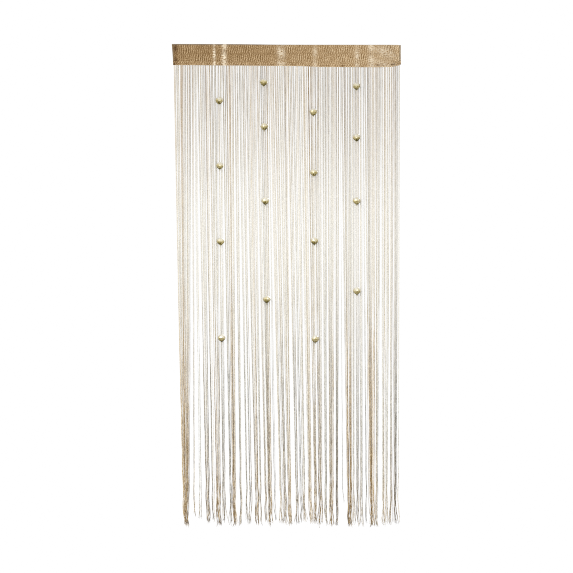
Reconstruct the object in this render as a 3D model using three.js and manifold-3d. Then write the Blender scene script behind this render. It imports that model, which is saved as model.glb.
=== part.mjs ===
// Bead curtain: a woven heading band with an open rod pocket, a fringe of 300 hanging strings and
// sixteen faceted beads on four of the strings. Millimetres, +Z up, front towards -Y.
// The origin is the middle of the heading's top edge.
import * as THREE from 'three';
import { mergeVertices } from 'three/addons/utils/BufferGeometryUtils.js';
import Module from 'manifold-3d';

// Heading band
const HEADING_HALF_WIDTH = 475;
const HEADING_DROP = 88;
const SEAM_DROP = 16;
const CLOTH_WALL = 1.5;
const POCKET_HALF_DEPTH = 7.6;
const EDGE_HALF_DEPTH = 1.6;
const PIECE_GAP = 0.34;
const SLEEVE_END_SLIP = 3;
const END_REACH = 60;
const LEFT_END_LEAN = 6;
const EDGE_FOLD_SHARE = 0.35;
const BACK_FOLD_SHARE = 0.4;
const POCKET_ROUNDNESS = 0.8;
const TOP_WALL_SHARE = 0.045;
const SEAM_WALL_SHARE = 0.05;
const SEAM_EDGE_FROM = 0.85;
const SEAM_EDGE_NARROWING = 0.6;

// Sections that the band is swept through: even steps, and closer ones at each fold, in half widths
// of the fold. Of two that would stand closer together than the last number, one is left out.
const EVEN_SECTION_STEPS = 13;
const FOLD_STATIONS = [-1.25, -0.5, 0.5, 1.25];
const CLOSEST_SECTIONS = 3.5;

// Slow unevenness of the whole band from front to back: waves across its width.
const BAND_WAVES = [
  { height: 0.8, length: 92, start: 0.6 },
  { height: 0.4, length: 41, start: 0 },
];

// Strings
const STRING_COUNT = 300;
const STRING_RADIUS = 0.9;
const STRING_SIDES = 3;
const FIRST_ROOT = -468;
const LAST_ROOT = 472;
const ROOT_DEPTH_IN_SEAM = 6;
const ROW_PITCH = 2.2;
const SAME_ROW_PITCH = 2.1;
const CLUMP_PULL = 0.38;
const TIP_FLARE = 1.22;
const TIP_RAGGED = 20;

// Beads
const BEAD_RADIUS = 16.6;
const BEAD_BORE_RADIUS = 1.52;
const BEAD_FACETS = 8;
const BEAD_SET_FORWARD = 9;
const BEAD_SIDE_ROOM = 0.6;

// Edge line of the band, a row for each section along its width: height of its top and of its bottom.
const BAND_SECTIONS = [
  { at: -475, top: 3.0, bottom: -85.0 },
  { at: -240, top: 2.0, bottom: -87.0 },
  { at: 0, top: 0.0, bottom: -88.5 },
  { at: 180, top: -0.3, bottom: -93.0 },
  { at: 370, top: -0.5, bottom: -94.5 },
  { at: 435, top: -0.6, bottom: -93.0 },
  { at: 462, top: -1.0, bottom: -88.0 },
  { at: 475, top: -2.0, bottom: -83.0 },
];

// Soft upright folds in the band, a row for each: centre, half width and rise towards the front.
const BAND_FOLDS = [
  { at: -460, halfWidth: 13, rise: -1.2 },
  { at: -301, halfWidth: 8, rise: 1.6 },
  { at: -260, halfWidth: 9, rise: 1.8 },
  { at: -20, halfWidth: 18, rise: 1.5 },
  { at: 121, halfWidth: 10, rise: 1.5 },
  { at: 291, halfWidth: 11, rise: 1.6 },
  { at: 395, halfWidth: 34, rise: 1.8 },
];

// Locks that the strings gather into at the hem, from left to right: centre, number of strings,
// width at the hem and drop of the longest tip below the origin.
const LOCKS = [
  { at: -416, strings: 24, spread: 23, reach: 1993 },
  { at: -383, strings: 3, spread: 5, reach: 1955 },
  { at: -358, strings: 4, spread: 9, reach: 1962 },
  { at: -323, strings: 10, spread: 12, reach: 1980 },
  { at: -304, strings: 5, spread: 6, reach: 1974 },
  { at: -279, strings: 12, spread: 13, reach: 1992 },
  { at: -258, strings: 6, spread: 12, reach: 1980 },
  { at: -229, strings: 5, spread: 6, reach: 1988 },
  { at: -215, strings: 11, spread: 12, reach: 1993 },
  { at: -188, strings: 6, spread: 7, reach: 1994 },
  { at: -163, strings: 4, spread: 5, reach: 1978 },
  { at: -148, strings: 5, spread: 6, reach: 1988 },
  { at: -120, strings: 10, spread: 12, reach: 1988 },
  { at: -105, strings: 4, spread: 5, reach: 1986 },
  { at: -82, strings: 5, spread: 9, reach: 1984 },
  { at: -66, strings: 11, spread: 12, reach: 1994 },
  { at: -44, strings: 2, spread: 2.5, reach: 1980 },
  { at: -20, strings: 6, spread: 7.5, reach: 1980 },
  { at: -3, strings: 6, spread: 8, reach: 1984 },
  { at: 16, strings: 11, spread: 13, reach: 1988 },
  { at: 46, strings: 7, spread: 9, reach: 1984 },
  { at: 65, strings: 5, spread: 6, reach: 1976 },
  { at: 78, strings: 5, spread: 6, reach: 1976 },
  { at: 100, strings: 10, spread: 12, reach: 1980 },
  { at: 123, strings: 9, spread: 10, reach: 1982 },
  { at: 141, strings: 10, spread: 12, reach: 1995 },
  { at: 165, strings: 7, spread: 8, reach: 1993 },
  { at: 187, strings: 11, spread: 14, reach: 1990 },
  { at: 210, strings: 6, spread: 7, reach: 1994 },
  { at: 234, strings: 1, spread: 0, reach: 1910 },
  { at: 264, strings: 15, spread: 17, reach: 1997 },
  { at: 279, strings: 4, spread: 5, reach: 1988 },
  { at: 297, strings: 6, spread: 12, reach: 1992 },
  { at: 313, strings: 4, spread: 6, reach: 1994 },
  { at: 333, strings: 2, spread: 3, reach: 1978 },
  { at: 355, strings: 16, spread: 18, reach: 1993 },
  { at: 375, strings: 7, spread: 8, reach: 1993 },
  { at: 403, strings: 7, spread: 8, reach: 1988 },
  { at: 416, strings: 5, spread: 6, reach: 1991 },
  { at: 434, strings: 5, spread: 7, reach: 1990 },
  { at: 452, strings: 6, spread: 8, reach: 1985 },
  { at: 464, strings: 2, spread: 2.5, reach: 1984 },
];

// Strings that carry beads: their place counted from the left and the drop of each bead's middle.
const BEAD_COLUMNS = [
  { string: 60, drops: [233, 503, 817, 1217] },
  { string: 119, drops: [157, 341, 649, 1057] },
  { string: 184, drops: [280, 531, 815, 1221] },
  { string: 242, drops: [173, 386, 649, 1022] },
];

// Stations of every string: share of its free length, and share of its way to its lock.
const STATIONS = [
  { along: 0.024, gathered: 0.022 },
  { along: 0.612, gathered: 0.575 },
  { along: 0.94, gathered: 0.94 },
];
const LAST_BEADED_STATION = 1;

// Outer profile of a bead from its lower point to its flat top: radius and height over its middle.
const BEAD_PROFILE = [
  { radius: 3.2, height: -15.5 },
  { radius: 11.8, height: -8.0 },
  { radius: BEAD_RADIUS, height: -1.0 },
  { radius: BEAD_RADIUS, height: 3.0 },
  { radius: 12.6, height: 10.6 },
  { radius: 6.4, height: 14.6 },
];

const fabric = (color) => new THREE.MeshStandardMaterial({ color, roughness: 0.75, metalness: 0.1 });
const headingFinish = fabric(0xb08e62);
const stringFinish = fabric(0xc4b196);
const beadFinish = new THREE.MeshStandardMaterial({ color: 0xd5c38a, roughness: 0.12, metalness: 0.25 });

// Smooth value of one column of the band's section table at a place across the band.
function bandLine(x, column) {
  const last = BAND_SECTIONS.length - 1;
  const next = BAND_SECTIONS.findIndex((section) => section.at >= x);
  const upper = next < 0 ? last : Math.max(next, 1);
  const from = BAND_SECTIONS[upper - 1];
  const to = BAND_SECTIONS[upper];
  const share = THREE.MathUtils.smoothstep(x, from.at, to.at);
  return THREE.MathUtils.lerp(from[column], to[column], share);
}

// Slow unevenness of the whole band, front to back.
function bandWave(x) {
  return BAND_WAVES.reduce((sum, wave) => sum + wave.height * Math.sin(x / wave.length + wave.start), 0);
}

// Rise of the upright folds towards the front.
function foldRise(x) {
  return BAND_FOLDS.reduce((sum, fold) => {
    const offset = (x - fold.at) / fold.halfWidth;
    return sum + fold.rise * Math.exp(-offset * offset);
  }, 0);
}

// Places across the band where its section is set: even steps, and closer ones over each fold.
function bandStations() {
  const places = [];
  for (let section = 0; section <= EVEN_SECTION_STEPS; section += 1) {
    const share = section / EVEN_SECTION_STEPS;
    places.push(THREE.MathUtils.lerp(-HEADING_HALF_WIDTH, HEADING_HALF_WIDTH, share));
  }
  for (const fold of BAND_FOLDS) {
    for (const share of FOLD_STATIONS) {
      places.push(fold.at + share * fold.halfWidth);
    }
  }
  const sorted = places.filter((x) => Math.abs(x) <= HEADING_HALF_WIDTH).sort((a, b) => a - b);
  const isEnd = (index) => index === 0 || index === sorted.length - 1;
  return sorted.filter((x, index) => isEnd(index) || sorted[index + 1] - x > CLOSEST_SECTIONS);
}

// Half depth of the pocket's outside at a share of its height, 0 at the top and 1 at the seam.
function pocketHalfDepth(share) {
  const bulge = Math.pow(Math.sin(Math.PI * share), POCKET_ROUNDNESS);
  return EDGE_HALF_DEPTH + (POCKET_HALF_DEPTH - EDGE_HALF_DEPTH) * bulge;
}

// Sweeps a section across the band. A section point is (depth, share of the piece's own height).
// At both ends the front layer stops short of the back one by twice the end slip.
function sweepAcrossBand({ section, topOf, bottomOf, foldShareOf, endSlip }) {
  const stations = bandStations();
  const steps = stations.length - 1;
  const geometry = new THREE.ExtrudeGeometry(section, { depth: steps, steps, bevelEnabled: false });
  const points = geometry.getAttribute('position');
  for (let index = 0; index < points.count; index += 1) {
    const depth = points.getX(index);
    const share = -points.getY(index);
    const station = stations[Math.round(points.getZ(index))];
    const side = THREE.MathUtils.clamp(depth / EDGE_HALF_DEPTH, -1, 1);
    const innerEnd = HEADING_HALF_WIDTH - END_REACH;
    const nearEnd = THREE.MathUtils.smoothstep(Math.abs(station), innerEnd, HEADING_HALF_WIDTH);
    const z = THREE.MathUtils.lerp(topOf(station), bottomOf(station), share);
    const slip = Math.sign(station) * endSlip * (side - 1) * nearEnd;
    const lean = station < 0 ? (LEFT_END_LEAN * nearEnd * -z) / HEADING_DROP : 0;
    const foldSide = side < 0 ? 1 : BACK_FOLD_SHARE;
    const y = depth + bandWave(station) - foldRise(station) * foldSide * foldShareOf(share);
    points.setXYZ(index, station + slip + lean, y, z);
  }
  return geometry;
}

// Heading: the band folded into a flat sleeve, open at both ends.
function buildHeading() {
  const rows = 6;
  const outerFront = [];
  for (let row = 0; row <= rows; row += 1) {
    const share = row / rows;
    outerFront.push(new THREE.Vector2(-pocketHalfDepth(share), -share));
  }
  const innerFront = [];
  for (let row = 0; row < rows; row += 1) {
    const share = THREE.MathUtils.lerp(TOP_WALL_SHARE, 1 - SEAM_WALL_SHARE, row / (rows - 1));
    innerFront.push(new THREE.Vector2(-(pocketHalfDepth(share) - CLOTH_WALL), -share));
  }
  const mirrored = (front) => front.map((point) => new THREE.Vector2(-point.x, point.y)).reverse();
  const section = new THREE.Shape([...outerFront, ...mirrored(outerFront)]);
  section.holes.push(new THREE.Path([...innerFront, ...mirrored(innerFront)]));
  return sweepAcrossBand({
    section,
    topOf: (x) => bandLine(x, 'top'),
    bottomOf: (x) => bandLine(x, 'bottom') + SEAM_DROP,
    foldShareOf: (share) => EDGE_FOLD_SHARE + (1 - EDGE_FOLD_SHARE) * Math.sin(Math.PI * share),
    endSlip: SLEEVE_END_SLIP,
  });
}

// Seam strip: the sewn edge under the sleeve that holds the strings' roots.
function buildSeamStrip() {
  const half = CLOTH_WALL;
  const section = new THREE.Shape([
    new THREE.Vector2(-half, 0),
    new THREE.Vector2(-half, -SEAM_EDGE_FROM),
    new THREE.Vector2(-half * SEAM_EDGE_NARROWING, -1),
    new THREE.Vector2(half * SEAM_EDGE_NARROWING, -1),
    new THREE.Vector2(half, -SEAM_EDGE_FROM),
    new THREE.Vector2(half, 0),
  ]);
  return sweepAcrossBand({
    section,
    topOf: (x) => bandLine(x, 'bottom') + SEAM_DROP - PIECE_GAP,
    bottomOf: (x) => bandLine(x, 'bottom'),
    foldShareOf: () => EDGE_FOLD_SHARE,
    endSlip: 0,
  });
}

// Even scatter between 0 and 1 that is the same on every run.
function scatter(index, salt) {
  const wave = Math.sin(index * 12.9898 + salt * 78.233) * 43758.5453;
  return wave - Math.floor(wave);
}

// Root, lock and row of every string, from left to right. Strings hang in clumps of three or four that
// lean together at their roots, and a beaded string takes the front row of its lock.
function layOutStrings() {
  const pitch = (LAST_ROOT - FIRST_ROOT) / STRING_COUNT;
  const beaded = new Set(BEAD_COLUMNS.map((column) => column.string));
  const strings = [];
  for (const lock of LOCKS) {
    const spacing = lock.strings > 1 ? lock.spread / (lock.strings - 1) : 0;
    const rows = spacing > 0 ? Math.ceil(SAME_ROW_PITCH / spacing) : 1;
    const first = strings.length;
    const inLock = ({ string }) => string >= first && string < first + lock.strings;
    const beadedInLock = BEAD_COLUMNS.find(inLock);
    const frontRank = beadedInLock ? beadedInLock.string - first : 1;
    let clumpStart = 0;
    let clumpSize = 3;
    for (let rank = 0; rank < lock.strings; rank += 1) {
      const index = strings.length;
      if (rank === clumpStart + clumpSize) {
        clumpStart = rank;
        clumpSize = scatter(index, 3) > 0.5 ? 4 : 3;
      }
      const clumpEnd = Math.min(clumpStart + clumpSize, lock.strings);
      const towardsClump = (clumpStart + clumpEnd - 1) / 2 - rank;
      strings.push({
        root: FIRST_ROOT + (index + 0.5 + CLUMP_PULL * towardsClump) * pitch,
        hem: lock.at - lock.spread / 2 + rank * spacing,
        lockAt: lock.at,
        row: ((rank + rows * lock.strings - frontRank) % rows) - (rows - 1) / 2,
        reach: lock.reach - TIP_RAGGED * scatter(index, 1),
        beaded: beaded.has(index),
      });
    }
  }
  return strings;
}

// Place across the width at a share of the way from root to lock.
const acrossAt = (string, gathered) => THREE.MathUtils.lerp(string.root, string.hem, gathered);

// How far a string stands behind the band so that it passes the nearest row of beads.
function depthPastBeads(string, beadStrings) {
  if (string.beaded) {
    return -BEAD_SET_FORWARD;
  }
  const clearance = BEAD_RADIUS + STRING_RADIUS + ROW_PITCH + BEAD_SIDE_ROOM;
  let depth = 0;
  for (const beadString of beadStrings) {
    const upper = acrossAt(string, STATIONS[0].gathered) - acrossAt(beadString, STATIONS[0].gathered);
    const { gathered } = STATIONS[LAST_BEADED_STATION];
    const lower = acrossAt(string, gathered) - acrossAt(beadString, gathered);
    const nearest = upper * lower <= 0 ? 0 : Math.min(Math.abs(upper), Math.abs(lower));
    if (nearest < clearance) {
      depth = Math.max(depth, Math.sqrt(clearance * clearance - nearest * nearest) - BEAD_SET_FORWARD);
    }
  }
  return depth;
}

// Corner points of one string from inside the seam strip to its tip.
function stringPoints(string, beadStrings) {
  const middleFoldShare = (1 + BACK_FOLD_SHARE) / 2;
  const rootY = bandWave(string.root) - foldRise(string.root) * middleFoldShare * EDGE_FOLD_SHARE;
  const hemLine = bandLine(string.root, 'bottom');
  const free = string.reach + hemLine;
  const pastBeads = depthPastBeads(string, beadStrings);
  const points = [new THREE.Vector3(string.root, rootY, hemLine + ROOT_DEPTH_IN_SEAM)];
  STATIONS.forEach((station, place) => {
    const besideBeads = place <= LAST_BEADED_STATION;
    const row = string.beaded && besideBeads ? 0 : string.row * ROW_PITCH;
    const depth = besideBeads ? pastBeads : 0;
    const z = hemLine - station.along * free;
    points.push(new THREE.Vector3(acrossAt(string, station.gathered), row + depth, z));
  });
  const tipX = string.lockAt + (string.hem - string.lockAt) * TIP_FLARE;
  points.push(new THREE.Vector3(tipX, string.row * ROW_PITCH * TIP_FLARE, -string.reach));
  return points;
}

// A string's path: straight runs between its corner points, with one station at each corner.
class StringPath extends THREE.Curve {
  constructor(points) {
    super();
    this.points = points;
  }

  getPointAt(share, target = new THREE.Vector3()) {
    return target.copy(this.points[Math.round(share * (this.points.length - 1))]);
  }

  getTangentAt(share, target = new THREE.Vector3()) {
    return target.set(0, 0, -1);
  }
}

// One string as a three-sided rod along its path.
function buildString(points) {
  const corners = [];
  for (let side = 0; side < STRING_SIDES; side += 1) {
    const angle = (2 * Math.PI * side) / STRING_SIDES;
    corners.push(new THREE.Vector2(STRING_RADIUS * Math.cos(angle), STRING_RADIUS * Math.sin(angle)));
  }
  const options = { steps: points.length - 1, extrudePath: new StringPath(points), bevelEnabled: false };
  return new THREE.ExtrudeGeometry(new THREE.Shape(corners), options);
}

// Point on a beaded string at a given drop below the origin.
function pointAtDrop(points, drop) {
  const lower = points.findIndex((point) => point.z <= -drop);
  const from = points[lower - 1];
  const to = points[lower];
  return from.clone().lerp(to, (-drop - from.z) / (to.z - from.z));
}

// Bead: a cut body of revolution, full above and pointed below, with a bore for its string.
function buildBead() {
  const outer = BEAD_PROFILE.map((ring) => new THREE.Vector2(ring.radius, ring.height));
  const lowest = BEAD_PROFILE[0].height;
  const highest = BEAD_PROFILE[BEAD_PROFILE.length - 1].height;
  const bore = [new THREE.Vector2(BEAD_BORE_RADIUS, highest), new THREE.Vector2(BEAD_BORE_RADIUS, lowest)];
  const geometry = new THREE.LatheGeometry([...outer, ...bore, outer[0]], BEAD_FACETS);
  return geometry.rotateX(Math.PI / 2);
}

const WELD_DISTANCE = 1e-4;
const wasm = await Module();
wasm.setup();

// Solid for joining, from a closed geometry.
function toSolid(geometry) {
  const bare = geometry.clone();
  bare.deleteAttribute('normal');
  bare.deleteAttribute('uv');
  const merged = mergeVertices(bare, WELD_DISTANCE);
  return new wasm.Manifold(new wasm.Mesh({
    numProp: 3,
    vertProperties: new Float32Array(merged.getAttribute('position').array),
    triVerts: new Uint32Array(merged.getIndex().array),
  }));
}

// Geometry of a joined solid.
function toGeometry(solid) {
  const mesh = solid.getMesh();
  const geometry = new THREE.BufferGeometry();
  geometry.setAttribute('position', new THREE.BufferAttribute(mesh.vertProperties, 3));
  geometry.setIndex(new THREE.BufferAttribute(mesh.triVerts, 1));
  return geometry;
}

function namedMesh(name, geometry, material) {
  const mesh = new THREE.Mesh(geometry, material);
  mesh.name = name;
  return mesh;
}

const strings = layOutStrings();
const beadStrings = strings.filter((string) => string.beaded);
const allPoints = strings.map((string) => stringPoints(string, beadStrings));

// Fringe: the seam strip with every string's root joined into it.
const seamStrip = toSolid(buildSeamStrip());
const fringe = allPoints.reduce((joined, points) => joined.add(toSolid(buildString(points))), seamStrip);

const curtain = new THREE.Group();
curtain.add(namedMesh('heading', buildHeading(), headingFinish));
curtain.add(namedMesh('string_fringe', toGeometry(fringe), stringFinish));
BEAD_COLUMNS.forEach((column, place) => {
  column.drops.forEach((drop, step) => {
    const bead = namedMesh(`bead_${place + 1}_${step + 1}`, buildBead(), beadFinish);
    bead.position.copy(pointAtDrop(allPoints[column.string], drop));
    curtain.add(bead);
  });
});

export default curtain;
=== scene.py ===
# Bead curtain: a woven heading band with an open rod pocket, a fringe of 300 hanging strings and
# sixteen faceted beads. Sizes are in millimetres until a mesh is made, +Z up, front towards -Y.
import math

import bpy
import numpy as np
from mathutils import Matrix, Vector


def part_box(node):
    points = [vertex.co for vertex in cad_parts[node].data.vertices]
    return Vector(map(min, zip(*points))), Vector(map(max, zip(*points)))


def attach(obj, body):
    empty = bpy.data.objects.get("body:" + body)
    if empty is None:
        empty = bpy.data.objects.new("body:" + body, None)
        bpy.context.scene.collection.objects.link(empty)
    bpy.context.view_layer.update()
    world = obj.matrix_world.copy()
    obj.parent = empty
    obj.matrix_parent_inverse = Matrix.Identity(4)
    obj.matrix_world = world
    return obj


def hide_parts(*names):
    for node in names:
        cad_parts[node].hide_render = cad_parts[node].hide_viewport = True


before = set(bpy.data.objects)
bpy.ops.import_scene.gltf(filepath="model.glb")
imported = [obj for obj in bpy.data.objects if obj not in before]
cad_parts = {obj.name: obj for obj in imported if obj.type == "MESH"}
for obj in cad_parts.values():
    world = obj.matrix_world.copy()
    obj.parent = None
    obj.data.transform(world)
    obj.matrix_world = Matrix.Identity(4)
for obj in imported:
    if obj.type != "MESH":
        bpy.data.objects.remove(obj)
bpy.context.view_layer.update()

MM = 0.001
TURN = 2 * math.pi

# Heading band
HEADING_HALF_WIDTH = 475
HEADING_DROP = 88
SEAM_DROP = 16
CLOTH_WALL = 1.5
POCKET_HALF_DEPTH = 7.6
EDGE_HALF_DEPTH = 1.6
TUCK_IN = 1.2
SLEEVE_END_SLIP = 3
END_REACH = 60
LEFT_END_LEAN = 6
EDGE_FOLD_SHARE = 0.35
BACK_FOLD_SHARE = 0.4
TOP_WALL_SHARE = 0.045
SEAM_WALL_SHARE = 0.05
POCKET_ROUNDNESS = 0.8
RIB_PITCH = 8.6
RIB_LIFT = 0.42
TIER_BREAK = -38.5
SEAM_LIFT = 0.55
STITCH_PITCH = 12.4

# Slow unevenness of the band from front to back: height, length and start of each wave
BAND_WAVES = [(0.8, 92, 0.6), (0.4, 41, 0)]

# Strings
FIRST_ROOT = -468
LAST_ROOT = 472
ROOT_DEPTH_IN_SEAM = 6
ROW_PITCH = 2.2
SAME_ROW_PITCH = 2.1
CLUMP_PULL = 0.26
ROOT_SCATTER = 0.36
TIP_FLARE = 1.22
TIP_DRAWN_IN = 0.5
TIP_RAGGED = 20
TIP_SLACK = 9
STRING_RADIUS = 0.9
STRING_STATIONS = 180
STRING_SIDES = 5
STRINGS_IN_A_PIECE = 50
FRAYED_FROM = 0.995
SLUB_SHARE = 0.09
SLUBS = 23
FIBRES_OF_A_TIP = 4

# Beads and knots
BEAD_RADIUS = 16.6
BEAD_BORE_RADIUS = 1.52
BEAD_SET_FORWARD = 9
BEAD_SIDE_ROOM = 0.6
BEAD_FACETS = 10
BEAD_OUTLINE = [(3.2, -15.5), (9.6, -10.6), (14.9, -4.4), (BEAD_RADIUS, 1.0), (14.4, 8.2), (6.6, 14.4)]
KNOT_DROP = 18.4
KNOT_RADIUS = 2.2
KNOT_HEIGHT = 5.6

# Camera, its place in metres
CAMERA_PLACE = (0.0008, -9.0, -1.0036)
CAMERA_LENS = 136.3
SENSOR_WIDTH = 36

# Edge line of the band: place across, height of its top and of its bottom
BAND_SECTIONS = np.array([
    (-475, 3.0, -85.0),
    (-240, 2.0, -87.0),
    (0, 0.0, -88.5),
    (180, -0.3, -93.0),
    (370, -0.5, -94.5),
    (435, -0.6, -93.0),
    (462, -1.0, -88.0),
    (475, -2.0, -83.0),
])

# Soft upright folds in the band: centre, half width and rise towards the front
BAND_FOLDS = [
    (-460, 13, -1.2),
    (-301, 8, 1.6),
    (-260, 9, 1.8),
    (-20, 18, 1.5),
    (121, 10, 1.5),
    (291, 11, 1.6),
    (395, 34, 1.8),
]

# Streaks of painted sheen where the band's folds catch the light: centre, half width and strength
PAINTED_SHEEN_STREAKS = [
    (-299, 5, 1.4),
    (-258, 9, 1.3),
    (-22, 15, 0.9),
    (119, 9, 0.65),
    (293, 9, 0.75),
    (352, 12, 0.7),
    (408, 44, 0.6),
]

# Places where the strings are a browner yarn: centre, half width and how much
BROWNER_STRINGS = [
    (-468, 5, 0.7),
    (-436, 6, 0.8),
    (-335, 5, 0.3),
    (-238, 7, 0.35),
    (-88, 9, 0.2),
    (-3, 10, 0.25),
    (94, 7, 0.3),
    (172, 5, 0.2),
    (345, 7, 0.25),
    (445, 12, 0.25),
]

# Locks that the strings gather into at the hem: centre, strings, width at the hem, longest drop
LOCKS = [
    (-416, 24, 21, 1993), (-383, 3, 5, 1955), (-358, 4, 9, 1962), (-323, 10, 12, 1980),
    (-304, 5, 6, 1974), (-279, 12, 13, 1992), (-258, 6, 12, 1980), (-229, 5, 6, 1988),
    (-215, 11, 12, 1993), (-188, 6, 7, 1994), (-163, 4, 5, 1978), (-148, 5, 6, 1988),
    (-120, 10, 12, 1988), (-105, 4, 5, 1986), (-82, 5, 9, 1984), (-66, 11, 12, 1994),
    (-44, 2, 2.5, 1980), (-20, 6, 7.5, 1980), (-3, 6, 8, 1984), (16, 11, 13, 1988),
    (46, 7, 9, 1984), (65, 5, 6, 1976), (78, 5, 6, 1976), (100, 10, 12, 1980),
    (123, 9, 10, 1982), (141, 10, 12, 1995), (165, 7, 8, 1993), (187, 11, 14, 1990),
    (210, 6, 7, 1994), (234, 1, 0, 1910), (264, 15, 17, 1997), (279, 4, 5, 1988),
    (297, 6, 12, 1992), (313, 4, 6, 1994), (333, 2, 3, 1978), (355, 16, 18, 1993),
    (375, 7, 8, 1993), (403, 7, 8, 1988), (416, 5, 6, 1991), (434, 5, 7, 1990),
    (452, 6, 8, 1985), (464, 2, 2.5, 1984),
]

# Strings that carry beads, counted from the left, each with four beads
BEADED_STRINGS = (60, 119, 184, 242)
BEADS_ON_A_STRING = 4

# Stations of every string: share of its free length, and share of its way to its lock
STATIONS = [(0.024, 0.022), (0.612, 0.575), (0.94, 0.94)]
LAST_BEADED_STATION = 1


def smoothstep(x, low, high):
    """Cubic ease from 0 at low to 1 at high."""
    share = np.clip((x - low) / (high - low), 0, 1)
    return share * share * (3 - 2 * share)


def scatter(index, salt):
    """Even scatter between 0 and 1: the fraction left of a large multiple of a sine."""
    wave = np.sin(np.asarray(index) * 12.9898 + salt * 78.233) * 43758.5453
    return wave - np.floor(wave)


def band_line(x, column):
    """Edge line of the band: its section table with an ease between rows."""
    at = BAND_SECTIONS[:, 0]
    value = BAND_SECTIONS[:, column]
    upper = np.clip(np.searchsorted(at, x), 1, len(at) - 1)
    share = smoothstep(x, at[upper - 1], at[upper])
    return value[upper - 1] + (value[upper] - value[upper - 1]) * share


def waves(x, rows):
    """Sum of sine waves, each of a height, a length and a start."""
    return sum(height * np.sin(x / length + start) for height, length, start in rows)


def bell_sum(x, rows):
    """Sum of bell curves, each of a centre, a half width and a height."""
    return sum(height * np.exp(-(((x - at) / half_width) ** 2)) for at, half_width, height in rows)


def pocket_half_depth(share):
    """Half depth of the pocket, 0 at its top and 1 at its seam: a flattened sine bulge."""
    bulge = np.sin(np.pi * share) ** POCKET_ROUNDNESS
    return EDGE_HALF_DEPTH + (POCKET_HALF_DEPTH - EDGE_HALF_DEPTH) * bulge


def across_band(x, depth, share, top, bottom, fold_share, end_slip):
    """Place in the band of a section point: height eased between the top and bottom lines, depth with
    the band's wave and folds, and both ends slipped and leaned as the sleeve is."""
    side = np.clip(depth / EDGE_HALF_DEPTH, -1, 1)
    near_end = smoothstep(np.abs(x), HEADING_HALF_WIDTH - END_REACH, HEADING_HALF_WIDTH)
    z = top + (bottom - top) * share
    slip = np.sign(x) * end_slip * (side - 1) * near_end
    lean = np.where(x < 0, LEFT_END_LEAN * near_end * -z / HEADING_DROP, 0)
    fold_side = np.where(side < 0, 1, BACK_FOLD_SHARE)
    y = depth + waves(x, BAND_WAVES) - bell_sum(x, BAND_FOLDS) * fold_side * fold_share
    return np.stack([x + slip + lean, y, z], axis=-1)


# Meshes


def grid_faces(rows, columns, start=0, close_columns=False):
    """Quads of a grid of rows times columns points, the columns closed into a ring if asked."""
    steps = columns if close_columns else columns - 1
    row, column = np.meshgrid(np.arange(rows - 1), np.arange(steps), indexing="ij")
    after = (column + 1) % columns
    corners = [row * columns + column, row * columns + after,
               (row + 1) * columns + after, (row + 1) * columns + column]
    return start + np.stack(corners, axis=-1).reshape(-1, 4)


def make_piece(name, points, faces, material, smooth=True, attributes=None, corner_uv=None):
    """Mesh object at the origin from points in millimetres, with its material, its point attributes
    and, where given, a corner map in metres."""
    mesh = bpy.data.meshes.new(name)
    mesh.from_pydata((np.asarray(points).reshape(-1, 3) * MM).tolist(), [], faces)
    mesh.validate()
    mesh.polygons.foreach_set("use_smooth", np.full(len(mesh.polygons), smooth))
    for label, values in (attributes or {}).items():
        mesh.attributes.new(label, "FLOAT", "POINT").data.foreach_set(
            "value", np.asarray(values, dtype=np.float32).ravel())
    if corner_uv is not None:
        mesh.uv_layers.new(name="Thread").data.foreach_set(
            "uv", np.asarray(corner_uv, dtype=np.float32).ravel())
    mesh.materials.append(material)
    piece = bpy.data.objects.new(name, mesh)
    bpy.context.scene.collection.objects.link(piece)
    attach(piece, "root")
    return piece


# Materials


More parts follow.
